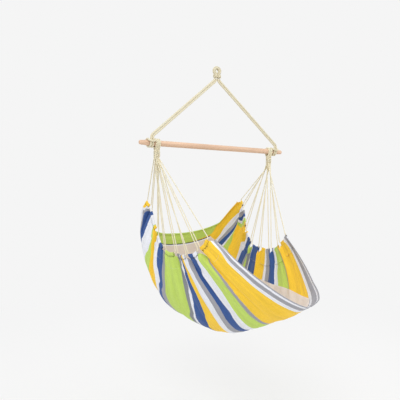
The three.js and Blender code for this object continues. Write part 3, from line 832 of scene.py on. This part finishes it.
def cloth_sheet():
    u = sheet_columns()
    rows = seat_rows()
    edge = 1 - main_edge(u) / half_length(u)
    shares = np.concatenate([-rows[::-1], rows[1:]])
    grid_u, grid_s = np.meshgrid(u, shares, indexing="ij")
    grid_t = grid_s * edge[:, None]
    sheet = Sheet()
    columns = sheet.grid(seat_points(grid_u, grid_t), weave_place(grid_u, grid_t))
    fold_selvage(sheet, columns[0], grid_t[0], 0, 1)
    fold_selvage(sheet, columns[-1], grid_t[-1], 1, -1)
    for side, _ in SIDES:
        for tab in range(TAB_COUNT):
            roll_hem(sheet, u, columns, tab, side)
    return sheet


def fold_selvage(sheet, column, t, end, inward):
    """The selvage is turned in and sewn down."""
    previous = column
    for step, lift in SELVAGE_TURN:
        u = np.full(len(t), min(1, max(0, end + inward * step)))
        fresh = sheet.add(seat_points(u, t, lift), weave_place(u, t))
        sheet.strip(fresh, previous, inward < 0)
        previous = fresh


def roll_section(radius):
    """Distances off and out of the tunnel's middle, from the outer face over the cord and back."""
    rise = [(a * MM + 0 * radius, b * radius) for a, b in ROLL_RISE]
    turns = [radians(a) for a in range(ROLL_ARC, -ROLL_ARC - 1, -ROLL_ARC_STEP)]
    arc = [(radius * cos(a), radius * sin(a)) for a in turns]
    return rise + arc + [(a * MM + 0 * radius, b * radius) for a, b in ROLL_RETURN]


def roll_hem(sheet, u, columns, tab, side):
    """The edge of one tab goes out, over the cord and back in, and down to its row of stitches."""
    rolled = from_notch(u) > ROLL_START - TINY
    picked = [i for i in np.flatnonzero(rolled) if tab / TAB_COUNT < u[i] < (tab + 1) / TAB_COUNT]
    span = u[picked]
    centre, off, out = hem_axis(span, side)
    along_u, along_t, seed = ROLL_NOISE
    lumps = [noise.noise(Vector((s * along_u, side * along_t, seed))) for s in span]
    radius = ROLL_RADIUS * (1 + ROLL_UNEVEN * np.array(lumps))
    hem_t = side * edge_share(span)
    along = edge_share(span) * CUT_HALF + ROLL_UV_START
    previous = [columns[i][-1 if side > 0 else 0] for i in picked]
    rows = [(centre + off * a[:, None] + out * b[:, None], hem_t, ROLL_UV_STEP)
            for a, b in roll_section(radius)]
    for share in HEM_ROWS:
        t = side * (1 - (hem_sag(span) + HEM_DEPTH * share) / half_length(span))
        lift = HEM_LAYER + ROLL_RADIUS * (1 - share) ** HEM_EASE
        rows.append((seat_points(span, t, lift), t, HEM_UV_STEP))
    for points, t, step in rows:
        fresh = sheet.add(points, weave_place(span, t, side * along))
        sheet.strip(previous, fresh, side < 0)
        previous = fresh
        along = along + step


def lining_sheet():
    u = np.linspace(LINING_FRONT, LINING_REAR, LINING_COLUMNS)
    grid_u, grid_s = np.meshgrid(u, np.linspace(-1, 1, LINING_ROWS), indexing="ij")
    limit = rails(grid_u, LINING_EDGES)[..., 0]
    grid_t = grid_s * limit
    uvs = np.stack([grid_u * CUT_WIDTH, grid_t * CUT_HALF], axis=-1)
    wave = ridge_noise(uvs[..., 0], uvs[..., 1], LINING_WAVE_NOISE)
    edge_u = np.minimum(grid_u - LINING_FRONT, LINING_REAR - grid_u) * CUT_WIDTH
    from_edge = np.minimum(edge_u, (limit - np.abs(grid_t)) * CUT_HALF)
    puff = LINING_PUFF * np.clip(from_edge / PUFF_REACH, 0, 1) ** 0.5
    puff += LINING_WAVE * wave * (from_edge > 0)
    _, outward = seat_directions(grid_u, grid_t)
    sheet = Sheet()
    sheet.grid(seat_points(grid_u, grid_t) - outward * (LINING_LIFT + puff)[..., None], uvs)
    return sheet


def sheet_object(name, sheet, material, thickness, bevel=0.0):
    obj = new_object(name, sheet.verts, sheet.faces, material, sheet.uvs)
    solid = obj.modifiers.new("thickness", "SOLIDIFY")
    solid.thickness = thickness
    solid.offset = 0
    solid.use_even_offset = False
    if bevel:
        edge = obj.modifiers.new("edge", "BEVEL")
        edge.width = bevel
        edge.segments = 2
        edge.limit_method = "ANGLE"
    apply_modifiers(obj)
    return obj


def apply_modifiers(obj):
    view = bpy.context.evaluated_depsgraph_get()
    mesh = bpy.data.meshes.new_from_object(obj.evaluated_get(view))
    old = obj.data
    obj.modifiers.clear()
    obj.data = mesh
    bpy.data.meshes.remove(old)


# Routes of the ropes and cords, the same as the CAD part's
LASH_STEPS = 28
LASH_CLEAR = LASH_DIA / 2 + SEAT_GAP
HITCH_STEP = radians(20)
HITCH_STEPS = 15
HITCH_LEAD = 0.1
HITCH_SHIFT = 0.7
CORD_PLACES = np.array([0.1, 0.22, 0.36, 0.5, 0.64, 0.78, 0.9])
CORD_LEAD = 2 * MM


def eye_route():
    radius = (EYE_INNER_WIDTH + EYE_ROPE_DIA) / 2
    centre_z = EYE_ROPE_DIA / 2 - radius
    turns = np.linspace(0, pi, num=25)
    loop = [vec(radius * cos(a), 0, centre_z + radius * sin(a)) for a in turns]
    legs = []
    for share in np.linspace(0, 1, num=9)[1:]:
        ease = (1 - cos(pi * share)) / 2
        x = radius + (EYE_NECK_HALF - radius) * ease
        legs.append((x, centre_z + (-EYE_NECK_DROP - centre_z) * share))
    legs.append((EYE_NECK_HALF, EYE_NECK_Z))
    right = [vec(x, 0, z) for x, z in legs]
    return right[::-1] + loop + sided(right, -1)


def bundled(points, count, spread, lay, phase):
    """Routes of strands that lie round one middle line and turn slowly about it."""
    _, normals, binormals = moving_frames(points)
    along = walked(points)
    routes = []
    for k in range(count):
        turn = phase + 2 * pi * (k / count + along / lay)
        routes.append(points + normals * (spread * np.cos(turn))[:, None]
                      + binormals * (spread * np.sin(turn))[:, None])
    return routes


def lash_route(half_x, half_y, spread, turns, centre_x, top_z):
    """Turns wound downwards round two legs, each an ellipse the spread away from the middle."""
    outline = []
    for k in range(LASH_STEPS):
        a = 2 * pi * (k + 0.5) / LASH_STEPS
        c, s = cos(a), sin(a)
        normal = unit(np.array((c / half_x, s / half_y)))
        facing = copysign(1, c * spread[0] + s * spread[1])
        leg = np.array(spread) * facing
        outline.append(np.array((c * half_x, s * half_y)) + normal * LASH_CLEAR + leg)
    route = []
    for k in range(int(round(turns * LASH_STEPS)) + 1):
        x, y = outline[k % LASH_STEPS]
        route.append(vec(centre_x + x, y, top_z - LASH_PITCH * k / LASH_STEPS - LASH_DIA / 2))
    return route


def hitch_half():
    """Half of a lark's head round the bar's axis, and the radius of its turns."""
    near = STRAND_PITCH / 2
    far = STRAND_PITCH * 1.5
    wrap = (BAR_RADIUS + SEAT_GAP + ROPE_RADIUS) / cos(HITCH_STEP / 2)
    route = []
    for k in range(HITCH_STEPS + 1):
        a = HITCH_STEP * k
        share = min(1, max(0, (k / HITCH_STEPS - HITCH_LEAD) / HITCH_SHIFT))
        x = near + (far - near) * share * share * (3 - 2 * share)
        route.append(vec(x, -wrap * cos(a), -wrap * sin(a)))
    last = HITCH_STEP * HITCH_STEPS
    slope = cos(last) / -sin(last)
    corner_z = -wrap * sin(last) + slope * (-wrap + wrap * cos(last))
    for k in range(BEND_STEPS + 1):
        a = pi / 2 * k / BEND_STEPS
        dip = ROPE_RADIUS * sin(a / 2) ** 2 * 2
        x = near + STRAND_PITCH * cos(a)
        route.append(vec(x, -wrap - STRAND_PITCH * sin(a), corner_z - dip))
    return route, wrap


def leg_strand(side, wrap):
    """One strand of a doubled bridle leg, from the eye's lashing to the hitch."""
    shift = side * STRAND_PITCH / 2
    top_x = SEAT_GAP / 2 + ROPE_RADIUS + STRAND_PITCH / 2
    foot_z = BAR_Z + KNEE_HEIGHT
    half_bend = atan2(HITCH_X - top_x, SWING_Z - foot_z) / 2
    rise = shift * tan(half_bend)
    knee_z = SWING_Z - (LEG_BEND + STRAND_PITCH / 2) * tan(half_bend)
    corners = [
        vec(top_x + shift, 0, SWING_Z), vec(top_x + shift, 0, knee_z + rise),
        vec(HITCH_X + shift, -wrap, foot_z + rise), vec(HITCH_X + shift, -wrap, BAR_Z),
    ]
    outer = LEG_BEND + STRAND_PITCH
    return rounded_route(corners, (LEG_BEND, outer) if side > 0 else (outer, LEG_BEND))


def bridle_route():
    half, wrap = hitch_half()
    shift = vec(HITCH_X, 0, BAR_Z)
    inner = [p + shift for p in sided(half, -1)]
    outer = [p + shift for p in reversed(half)]
    return leg_strand(-1, wrap)[:-1] + inner + outer + leg_strand(1, wrap)[:-1][::-1]


def band_route():
    """The middle of the harness band in its own plane, from its front foot over the bar and down."""
    loop = BAR_RADIUS + SEAT_GAP + BAND_THICKNESS / 2
    reach = hypot(BAND_NECK_DROP, BAND_NECK_HALF)
    leave = asin(loop / reach) - atan2(BAND_NECK_HALF, BAND_NECK_DROP)
    touch = vec(0, -loop * cos(leave), BAR_Z - loop * sin(leave))
    foot = vec(0, -BAND_NECK_HALF, BAND_NECK_Z)
    neck = vec(0, -BAND_NECK_HALF, BAR_Z - BAND_NECK_DROP)
    front = [foot] + bend(foot, neck, touch, BAND_BEND) + [touch]
    rear = [p * np.array((1, -1, 1)) for p in reversed(front)]
    turns = np.linspace(-leave, pi + leave, num=26)[1:-1]
    arc = [vec(0, -loop * cos(a), BAR_Z + loop * sin(a)) for a in turns]
    return front + arc + rear


def strand_tops():
    tops = []
    for row, count in enumerate(STRAND_ROWS):
        y = (row - (len(STRAND_ROWS) - 1) / 2) * CORD_PITCH
        tops += [vec(BAND_X + (k - (count - 1) / 2) * CORD_PITCH, y, STRAND_Z) for k in range(count)]
    return tops


def cord_route(tab):
    """A doubled cord of the right harness: down to the tab, through its tunnel and back up."""
    line = list(hem_axis((tab + CORD_PLACES) / TAB_COUNT, 1)[0])
    front, rear = strand_tops()[tab * 2:tab * 2 + 2]
    drop = vec(0, 0, -CORD_DIA)
    lead = vec(0, 0, CORD_LEAD)
    ahead = bend(front + drop, line[0], line[1], CORD_BEND)
    behind = bend(line[-2], line[-1], rear + drop, CORD_BEND)
    return [front + lead, front + drop] + ahead + line[1:-1] + behind + [rear + drop, rear + lead]


# The pieces
BAR_SIDES = 64
BAR_EDGE_STEPS = 9
BAR_TIP_FLAT = 0.2 * MM
RING_LIP = 0.4 * MM
RING_ROUND = 0.2 * MM
RING_FLOOR = 0.5 * MM
TAPER_EASE = 4 * MM
TAPER_DIP = 0.1 * MM
BRIDLE_YARN = 1.6 * MM
CORD_YARN = 1.1 * MM
BRIDLE_GAIN = 0.86
CORD_GAIN = 1.07
ROPE_PITCH = 3 * MM
EYE_STRANDS = 4
EYE_BUNDLE_LAY = 220 * MM
EYE_SWELL = 1.14
BAND_PITCH = 2.5 * MM
BAND_STRAND = 5.3 * MM
BAND_STRANDS = 5
BAND_STRAND_PITCH = 5.55 * MM
BAND_STAGGER = 0.3 * MM
BAND_LAYER = 0.47
CORD_LINE_PITCH = 3.5 * MM
# How each rope is laid: the length in which its strands turn once, its grooves' depth as a share of its
# radius, and its sides
EYE_LAID = (34 * MM, 0.1, 12)
LASH_LAID = (11 * MM, 0.14, 9)
BRIDLE_LAID = (48 * MM, 0.08, 18)
BAND_LAID = (19 * MM, 0.09, 9)
CORD_LAID = (21 * MM, 0.12, 9)
STITCH_LENGTH = 3 * MM
STITCH_PITCH = 4.4 * MM
STITCH_RADIUS = 0.45 * MM
STITCH_SIDES = 5
STITCH_RINGS = ((-0.5, 0.45), (-0.25, 1), (0.25, 1), (0.5, 0.45))
STITCH_INSET = 0.01
STITCH_RISE = 3 * MM
STITCH_LIFT = 0.15 * MM
OBLIQUE = vec(0.31, 0.22, 0.92)


def half_bar_profile():
    """Radius and x from the bar's middle to its right tip."""
    ring = BAR_LENGTH / 2 - RING_INSET
    shoulder = RING_WIDTH / 2
    floor = BAR_RADIUS - RING_DEPTH
    taper = BAR_LENGTH / 2 - BAR_TAPER
    profile = [
        (BAR_RADIUS, 0),
        (BAR_RADIUS, ring - shoulder - RING_LIP), (BAR_RADIUS - RING_ROUND, ring - shoulder),
        (floor, ring - RING_FLOOR), (floor, ring + RING_FLOOR),
        (BAR_RADIUS - RING_ROUND, ring + shoulder), (BAR_RADIUS, ring + shoulder + RING_LIP),
        (BAR_RADIUS, taper - TAPER_EASE), (BAR_RADIUS - TAPER_DIP, taper),
    ]
    for k in range(BAR_EDGE_STEPS + 1):
        a = pi / 2 * k / BAR_EDGE_STEPS
        profile.append((BAR_TIP_DIA / 2 - BAR_EDGE * (1 - cos(a)),
                        BAR_LENGTH / 2 - BAR_EDGE * (1 - sin(a))))
    return profile + [(BAR_TIP_FLAT, BAR_LENGTH / 2)]


def bar_piece(material):
    half = half_bar_profile()
    profile = [(r, -x) for r, x in reversed(half)] + half[1:]
    turns = [2 * pi * k / BAR_SIDES for k in range(BAR_SIDES)]
    verts = [(x, r * cos(a), BAR_Z + r * sin(a)) for r, x in profile for a in turns]
    return new_object("bar_turned", verts, capped_faces(len(profile), BAR_SIDES), material)


def lashing(name, route, material, body, node):
    rope_piece(name, [laid_tube(np.array(route), LASH_DIA / 2, *LASH_LAID)], material, body, node)


def hanging_eye(rope, cord):
    line = smooth_line(eye_route(), ROPE_PITCH, 2)
    strand = EYE_ROPE_DIA / 2 / (1 + sqrt(2))
    routes = bundled(line, EYE_STRANDS, strand * sqrt(2), EYE_BUNDLE_LAY, pi / 4)
    tubes = [laid_tube(route, strand * EYE_SWELL, *EYE_LAID, phase=k) for k, route in enumerate(routes)]
    rope_piece("eye_strands", tubes, rope, "eye", "hanging_eye")
    route = lash_route(EYE_ROPE_DIA / 2, EYE_ROPE_DIA / 2, (EYE_NECK_HALF, 0), EYE_LASH_TURNS, 0,
                       -EYE_NECK_DROP - NECK_BARE)
    lashing("eye_whipping", route, cord, "eye", "eye_lashing")


def bridle(side, name, rope):
    line = smooth_line(sided(bridle_route(), side), ROPE_PITCH, 3)
    tube = laid_tube(line, ROPE_RADIUS + SEAT_GAP, *BRIDLE_LAID)
    rope_piece(f"bridle_{name}", [tube], rope, "bridle", f"bridle_rope_{name}")


def harness_band(side, name, cord):
    """Two layers of strands side by side, which go round the bar together."""
    middle = np.array(band_route())
    middle[:, 0] = side * BAND_X
    middle = smooth_line(middle, BAND_PITCH, 3)
    across = np.cross(np.array((1, 0, 0)), units(np.gradient(middle, axis=0)))
    tubes = []
    for layer in (-1, 1):
        for k in range(BAND_STRANDS):
            shift = (k - (BAND_STRANDS - 1) / 2) * BAND_STRAND_PITCH + layer * BAND_STAGGER
            route = middle + across * layer * BAND_STRAND * BAND_LAYER + np.array((shift, 0, 0))
            tubes.append(laid_tube(route, BAND_STRAND / 2, *BAND_LAID, phase=k + layer))
    rope_piece(f"band_{name}", tubes, cord, "seat", f"harness_band_{name}")


def harness(side, name, cord):
    harness_band(side, name, cord)
    route = lash_route(BAND_WIDTH / 2, BAND_THICKNESS / 2, (0, BAND_NECK_HALF), BAND_LASH_TURNS,
                       side * BAND_X, BAR_Z - BAND_NECK_DROP - NECK_BARE)
    lashing(f"whipping_{name}", route, cord, "seat", f"harness_lashing_{name}")
    tubes = []
    for tab in range(TAB_COUNT):
        line = smooth_line(sided(cord_route(tab), side), CORD_LINE_PITCH, 2)
        tubes.append(laid_tube(line, CORD_DIA / 2, *CORD_LAID, phase=tab))
    nodes = [f"harness_cord_{name}_{k + 1}" for k in range(TAB_COUNT)]
    rope_piece(f"cords_{name}", tubes, cord, "seat", *nodes)


def hem_stitch_lines(side):
    """A row on each face of every tab's hem, just above the hem's foot."""
    inset = ROLL_START + STITCH_INSET
    surface = WEAVE_THICKNESS / 2 + STITCH_LIFT
    lines = []
    for tab in range(TAB_COUNT):
        u = np.linspace(tab + inset, tab + 1 - inset, num=40) / TAB_COUNT
        t = side * (1 - (hem_sag(u) + HEM_DEPTH - STITCH_RISE) / half_length(u))
        lines += [seat_points(u, t, lift) for lift in (-surface, HEM_LAYER + surface)]
    return lines


def stitches(name, lines, material):
    verts, faces = [], []
    turns = [2 * pi * k / STITCH_SIDES for k in range(STITCH_SIDES)]
    for line in lines:
        points = resample(line, STITCH_PITCH)
        for a, b in zip(points[:-1], points[1:]):
            along = unit(b - a)
            side = unit(np.cross(along, OBLIQUE))
            up = np.cross(side, along)
            faces += capped_faces(len(STITCH_RINGS), STITCH_SIDES, len(verts))
            for share, size in STITCH_RINGS:
                centre = (a + b) / 2 + along * STITCH_LENGTH * share
                spokes = [side * cos(turn) + up * sin(turn) for turn in turns]
                verts += [centre + spoke * STITCH_RADIUS * size for spoke in spokes]
    return new_object(name, verts, faces, material)


def seat(cloth, lining):
    striped = sheet_object("seat_striped", cloth_sheet(), cloth, WEAVE_THICKNESS)
    tunnels = [f"hem_tunnel_{name}_{k + 1}" for _, name in SIDES for k in range(TAB_COUNT)]
    declare(striped, "seat", "cloth", "seat_cloth", *tunnels)
    inner = sheet_object("seat_inner", lining_sheet(), lining, LINING_THICKNESS, LINING_BEVEL)
    declare(inner, "seat", "lining", "seat_lining")
    thread = sewing_thread()
    for side, name in SIDES:
        seam = stitches(f"hem_stitches_{name}", hem_stitch_lines(side), thread)
        declare(seam, "seat", "hem")


# Camera, lights and floor
CAMERA_AZIMUTH = radians(-33)
CAMERA_DISTANCE = 2.751
CAMERA_Z = -0.776
FOCAL_PIXELS = 461
FRAME_PIXELS = 400
SENSOR_MM = 36
SHIFT_PIXELS = 17
FLOOR_Z = -2.05
FLOOR_REACH = 30
FLOOR_GLOW = 0.6
FLOOR_TONE = 0.84
SHADOW_REACH = 3.6
WORLD_LEVEL = 0.98
LAMP_SIZE = 2.4
LAMP_TARGET = (0, 0, -1)
LAMPS = (("key", (-2, -2.6, 2.2), 58), ("fill", (2.8, -1.8, 0.2), 12), ("rear", (1.2, 3, 0.8), 10))


def photo_camera():
    data = bpy.data.cameras.new("camera")
    data.sensor_width = SENSOR_MM
    data.lens = FOCAL_PIXELS / FRAME_PIXELS * SENSOR_MM
    data.shift_x = -SHIFT_PIXELS / FRAME_PIXELS
    camera = linked("camera", data)
    x = CAMERA_DISTANCE * sin(CAMERA_AZIMUTH)
    y = -CAMERA_DISTANCE * cos(CAMERA_AZIMUTH)
    camera.location = (x, y, CAMERA_Z)
    camera.rotation_euler = (pi / 2, 0, CAMERA_AZIMUTH)
    bpy.context.scene.camera = camera


def studio_world():
    """Even white light, and a pale backdrop for the rays that show it."""
    nodes = Nodes("studio", "World", bpy.data.worlds)
    bpy.context.scene.world = nodes.owner
    light = nodes.add("Background", {"Color": (1, 1, 1, 1), "Strength": WORLD_LEVEL})
    pale = nodes.add("Background", {"Color": (*linear("backdrop"), 1), "Strength": 1.0})
    nodes.surface(nodes.mix_shaders(nodes.backdrop_seen(), light, pale))


def area_light(name, spot, power):
    data = bpy.data.lights.new(name, "AREA")
    data.size = LAMP_SIZE
    data.energy = power
    lamp = linked(name, data)
    lamp.location = spot
    lamp.rotation_euler = (Vector(LAMP_TARGET) - Vector(spot)).to_track_quat("-Z", "Y").to_euler()


def studio_floor():
    """A pale floor that takes the object's shadow and runs into the backdrop without a line."""
    nodes = Nodes("studio_floor")
    radius = nodes.add("VectorMath", {0: nodes.object_place()}, operation="LENGTH")
    away = nodes.add("MapRange", {
        "Value": radius.outputs["Value"], "From Min": SHADOW_REACH / 3, "From Max": SHADOW_REACH,
        "To Min": FLOOR_GLOW, "To Max": 1.0}, interpolation_type="SMOOTHSTEP").outputs["Result"]
    part = nodes.maths("MULTIPLY", nodes.backdrop_seen(), away)
    diffuse = nodes.add("BsdfDiffuse", {"Color": (*grey(FLOOR_TONE), 1)})
    glow = nodes.add("Emission", {"Color": (*linear("backdrop"), 1), "Strength": 1.0})
    nodes.surface(nodes.mix_shaders(part, diffuse, glow))
    reach = FLOOR_REACH
    verts = [(-reach, -reach, 0), (reach, -reach, 0), (reach, reach, 0), (-reach, reach, 0)]
    floor = new_object("floor", verts, [(0, 1, 2, 3)], nodes.owner)
    floor.location.z = FLOOR_Z


def build():
    rope = cotton_rope("bridle_cotton", BRIDLE_YARN, BRIDLE_GAIN)
    cord = cotton_rope("harness_cotton", CORD_YARN, CORD_GAIN)
    photo_camera()
    bpy.context.scene.view_settings.view_transform = "Standard"
    studio_world()
    for name, spot, power in LAMPS:
        area_light(name, spot, power)
    studio_floor()
    declare(bar_piece(turned_wood()), "bridle", "bar", "spreader_bar")
    hanging_eye(rope, cord)
    for side, name in SIDES:
        bridle(side, name, rope)
        harness(side, name, cord)
    seat(striped_cloth(), lining_cloth())


build()
